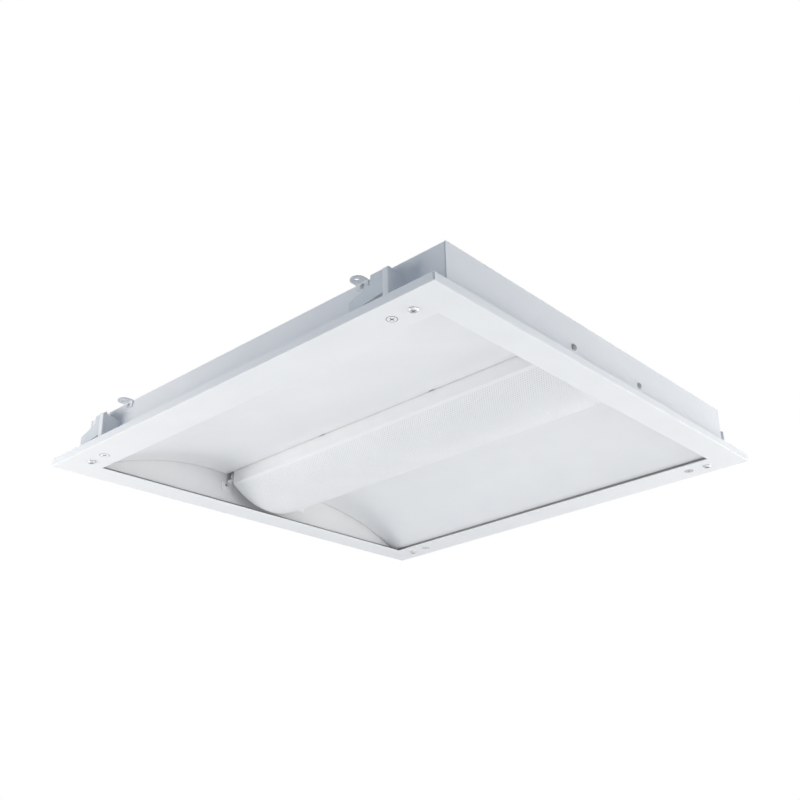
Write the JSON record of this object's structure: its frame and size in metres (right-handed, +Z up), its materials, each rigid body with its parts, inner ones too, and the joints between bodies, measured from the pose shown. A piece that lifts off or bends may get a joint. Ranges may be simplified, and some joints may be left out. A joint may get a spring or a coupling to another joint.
{
  "type": "recessed office light fixture",
  "caption": "Square recessed ceiling light: flat trim frame, shallow housing, arched reflectors either side of a hinged perforated basket, and swing clamps for the ceiling board.",
  "frame": {"origin": "middle of the ceiling plane, which the top edge of the trim frame's rim meets", "axes": "+Z up into the ceiling void, +Y along the basket, +X across it; the basket's hinge is on the -X side"},
  "size_m": [0.595, 0.595, 0.0682],
  "materials": {
    "white_paint": "white powder coat, satin, faint orange peel",
    "arm_coat": "pale grey coat, satin",
    "screw_steel": "bright zinc plate",
    "bush_brass": "turned brass",
    "opal_sheet": "opal acrylic, satin",
    "board_mask": "white solder mask",
    "led_phosphor": "clear resin over yellow phosphor",
    "connector_nylon": "moulded nylon",
    "lead_sheath": "soft sheath",
    "driver_case": "moulded case, fine spark texture",
    "grommet_rubber": "moulded rubber"
  },
  "bodies": {
    "fixture": {"trim_frame": "white_paint", "housing_pan": "white_paint", "lamp_channel": "white_paint", "end_wall_front": "white_paint", "end_wall_back": "white_paint", "end_liner_front": "white_paint", "end_liner_back": "white_paint", "reflector_left": "white_paint", "reflector_right": "white_paint", "pivot_bracket_front": "white_paint", "pivot_bracket_back": "white_paint", "catch_bracket_front": "white_paint", "catch_bracket_back": "white_paint", "suspension_ear_1": "white_paint", "suspension_ear_2": "white_paint", "suspension_ear_3": "white_paint", "suspension_ear_4": "white_paint", "clamp_post_1": "white_paint", "clamp_post_2": "white_paint", "clamp_post_3": "white_paint", "clamp_post_4": "white_paint", "gear_screws": "screw_steel", "ear_rivets": "screw_steel", "top_rivets": "screw_steel", "frame_screws": "screw_steel", "frame_nuts": "screw_steel", "end_wall_screws": "screw_steel", "pivot_pins": "screw_steel", "catch_plungers": "screw_steel", "screw_spacers": "screw_steel", "led_board_left": "board_mask", "led_board_right": "board_mask", "led_chips": "led_phosphor", "board_connectors": "connector_nylon", "terminal_block": "connector_nylon", "board_link_lead": "lead_sheath", "led_lead": "lead_sheath", "supply_lead": "lead_sheath", "led_driver": "driver_case", "cable_grommet": "grommet_rubber", "earth_screw": "bush_brass"},
    "basket": {"basket_shell": "white_paint", "basket_end_cap_front": "white_paint", "basket_end_cap_back": "white_paint", "diffuser": "opal_sheet"},
    "screw_1": {"clamp_screw_1": "screw_steel"},
    "bush_1": {"clamp_bush_1": "bush_brass"},
    "arm_1": {"clamp_arm_1": "arm_coat"},
    "screw_2": {"clamp_screw_2": "screw_steel"},
    "bush_2": {"clamp_bush_2": "bush_brass"},
    "arm_2": {"clamp_arm_2": "arm_coat"},
    "screw_3": {"clamp_screw_3": "screw_steel"},
    "bush_3": {"clamp_bush_3": "bush_brass"},
    "arm_3": {"clamp_arm_3": "arm_coat"},
    "screw_4": {"clamp_screw_4": "screw_steel"},
    "bush_4": {"clamp_bush_4": "bush_brass"},
    "arm_4": {"clamp_arm_4": "arm_coat"}
  },
  "joints": [
    {"name": "basket_hinge", "type": "hinge", "parent": "fixture", "child": "basket", "pos_m": [-0.06, 0, 0.033], "axis": [0, 1, 0], "range_deg": [0, 85]},
    {"name": "screw_spin_1", "type": "hinge", "parent": "fixture", "child": "screw_1", "pos_m": [-0.2735, -0.226, 0], "axis": [0, 0, 1], "range_deg": [0, 6300]},
    {"name": "clamp_travel_1", "type": "slide", "parent": "fixture", "child": "bush_1", "axis": [0, 0, -1], "range_m": [0, 0.014]},
    {"name": "clamp_swing_1", "type": "hinge", "parent": "bush_1", "child": "arm_1", "pos_m": [-0.2735, -0.226, 0.036], "axis": [0, 0, 1], "range_deg": [0, 70]},
    {"name": "screw_spin_2", "type": "hinge", "parent": "fixture", "child": "screw_2", "pos_m": [-0.2735, 0.226, 0], "axis": [0, 0, 1], "range_deg": [0, 6300]},
    {"name": "clamp_travel_2", "type": "slide", "parent": "fixture", "child": "bush_2", "axis": [0, 0, -1], "range_m": [0, 0.014]},
    {"name": "clamp_swing_2", "type": "hinge", "parent": "bush_2", "child": "arm_2", "pos_m": [-0.2735, 0.226, 0.036], "axis": [0, 0, 1], "range_deg": [0, 70]},
    {"name": "screw_spin_3", "type": "hinge", "parent": "fixture", "child": "screw_3", "pos_m": [0.2735, 0.226, 0], "axis": [0, 0, 1], "range_deg": [0, 6300]},
    {"name": "clamp_travel_3", "type": "slide", "parent": "fixture", "child": "bush_3", "axis": [0, 0, -1], "range_m": [0, 0.014]},
    {"name": "clamp_swing_3", "type": "hinge", "parent": "bush_3", "child": "arm_3", "pos_m": [0.2735, 0.226, 0.036], "axis": [0, 0, 1], "range_deg": [0, 70]},
    {"name": "screw_spin_4", "type": "hinge", "parent": "fixture", "child": "screw_4", "pos_m": [0.2735, -0.226, 0], "axis": [0, 0, 1], "range_deg": [0, 6300]},
    {"name": "clamp_travel_4", "type": "slide", "parent": "fixture", "child": "bush_4", "axis": [0, 0, -1], "range_m": [0, 0.014]},
    {"name": "clamp_swing_4", "type": "hinge", "parent": "bush_4", "child": "arm_4", "pos_m": [0.2735, -0.226, 0.036], "axis": [0, 0, 1], "range_deg": [0, 70]}
  ],
  "couplings": [
    {"joint": "screw_spin_1", "follows": "clamp_travel_1", "rad_per_m": 7854},
    {"joint": "screw_spin_2", "follows": "clamp_travel_2", "rad_per_m": 7854},
    {"joint": "screw_spin_3", "follows": "clamp_travel_3", "rad_per_m": 7854},
    {"joint": "screw_spin_4", "follows": "clamp_travel_4", "rad_per_m": 7854}
  ]
}
